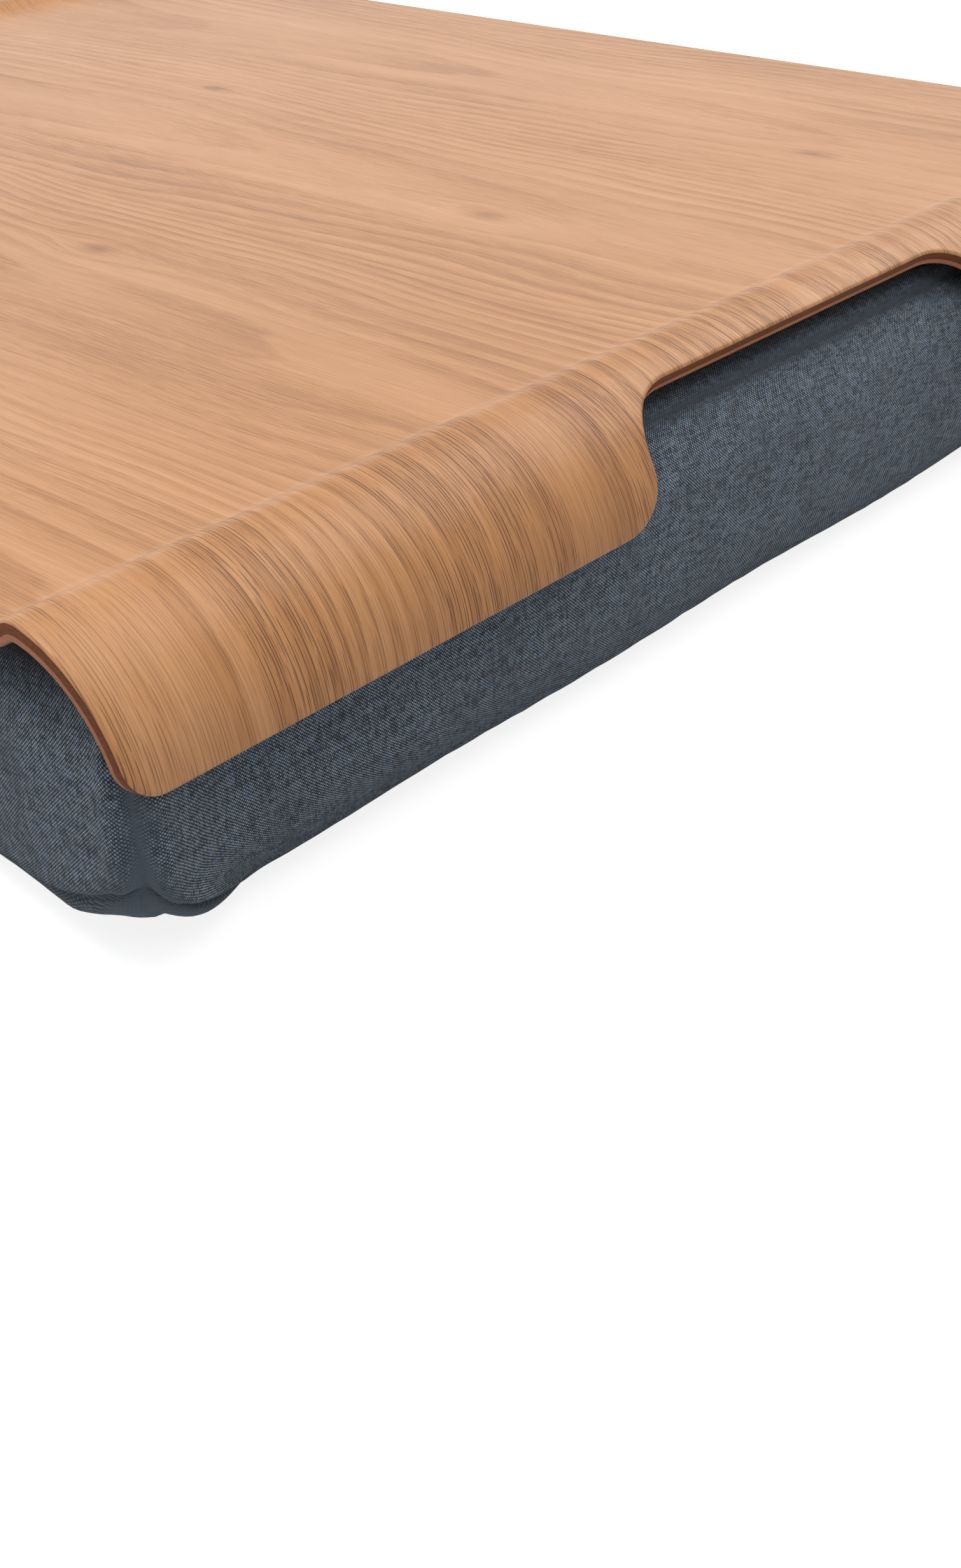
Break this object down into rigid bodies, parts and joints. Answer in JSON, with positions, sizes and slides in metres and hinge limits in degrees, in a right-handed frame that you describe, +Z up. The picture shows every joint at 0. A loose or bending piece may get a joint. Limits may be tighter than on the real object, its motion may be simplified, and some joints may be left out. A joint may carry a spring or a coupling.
{
  "type": "lap tray with cushion",
  "caption": "Moulded plywood lap tray with rolled-down ends and finger cut-outs, held by hook and loop patches on a bead-filled fabric cushion that opens by a zip.",
  "frame": {"origin": "centre of the tray's outline, on the surface that the cushion rests on", "axes": "+X along the tray's length towards the right rolled end, +Y towards the back with the zip, +Z up"},
  "size_m": [0.46, 0.365, 0.065],
  "materials": {
    "wood_face": "satin",
    "ply_dark": "satin",
    "ply_light": "satin",
    "hook_tape": "matte",
    "loop_tape": "matte",
    "cover_fabric": "matte",
    "liner_fabric": "matte",
    "bead_foam": "matte",
    "zip_tape": "matte",
    "zip_coil": "satin",
    "zip_metal": "satin"
  },
  "bodies": {
    "cushion": {"bead_fill": "bead_foam", "inner_liner": "liner_fabric", "cover_top_panel": "cover_fabric", "cover_bottom_panel": "cover_fabric", "cover_front_panel": "cover_fabric", "cover_back_panel": "cover_fabric", "cover_left_panel": "cover_fabric", "cover_right_panel": "cover_fabric", "loop_patches": "loop_tape", "zip_tape_upper": "zip_tape", "zip_tape_lower": "zip_tape", "zip_chain": "zip_coil", "zip_end_stops": "zip_metal"},
    "tray": {"face_veneer": "wood_face", "upper_cross_ply": "ply_dark", "core_ply": "ply_dark", "lower_cross_ply": "ply_light", "back_veneer": "ply_light", "hook_patches": "hook_tape"},
    "zip_slider": {"zip_slider": "zip_metal"},
    "zip_pull": {"zip_pull": "zip_metal"}
  },
  "joints": [
    {"name": "tray_lift_off", "type": "slide", "parent": "cushion", "child": "tray", "axis": [0, 0, 1], "range_m": [0, 0.12]},
    {"name": "zip_travel", "type": "slide", "parent": "cushion", "child": "zip_slider", "axis": [-1, 0, 0], "range_m": [0, 0.2668]},
    {"name": "pull_swing", "type": "hinge", "parent": "zip_slider", "child": "zip_pull", "pos_m": [0.1419, 0.1794, 0.0325], "axis": [0, 0, -1], "range_deg": [0, 170]}
  ]
}
